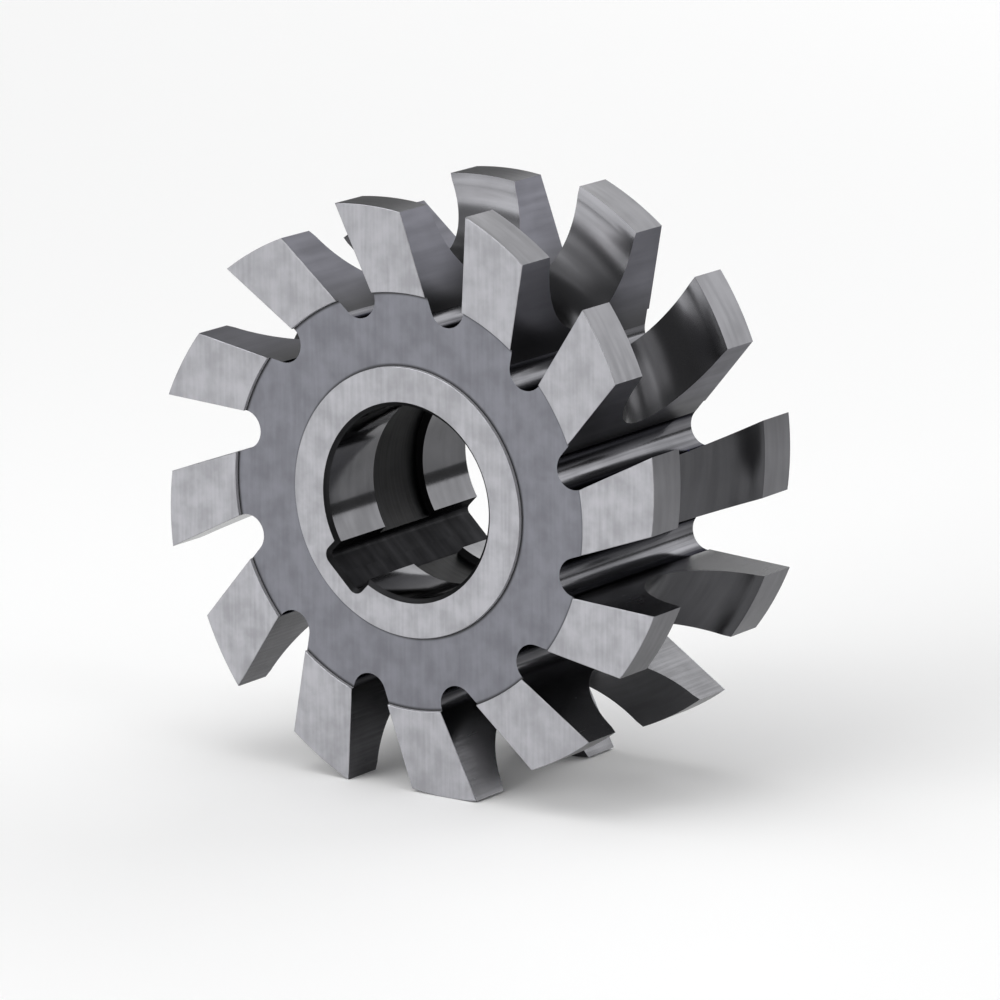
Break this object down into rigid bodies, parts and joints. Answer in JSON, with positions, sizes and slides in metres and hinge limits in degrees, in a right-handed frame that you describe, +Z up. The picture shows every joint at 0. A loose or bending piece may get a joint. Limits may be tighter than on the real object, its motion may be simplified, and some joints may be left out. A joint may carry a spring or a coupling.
{
  "type": "concave milling cutter",
  "caption": "Concave milling cutter, a one-piece steel disc of relieved teeth with a half-round hollow in the rim, for cutting convex half rounds on a keyed arbor.",
  "frame": {"origin": "centre of the bore, midway between the two hub faces", "axes": "+Y along the bore, away from the face that the picture shows, and +Z up with the cutter standing on its two lowest teeth, as the picture shows it"},
  "size_m": [0.097, 0.04, 0.097],
  "materials": {
    "cutter_steel": "ground sides, hub rings, lands and bore, with blued grey recesses and dark gullets"
  },
  "bodies": {
    "root": {"cutter_body": "cutter_steel"}
  },
  "joints": []
}
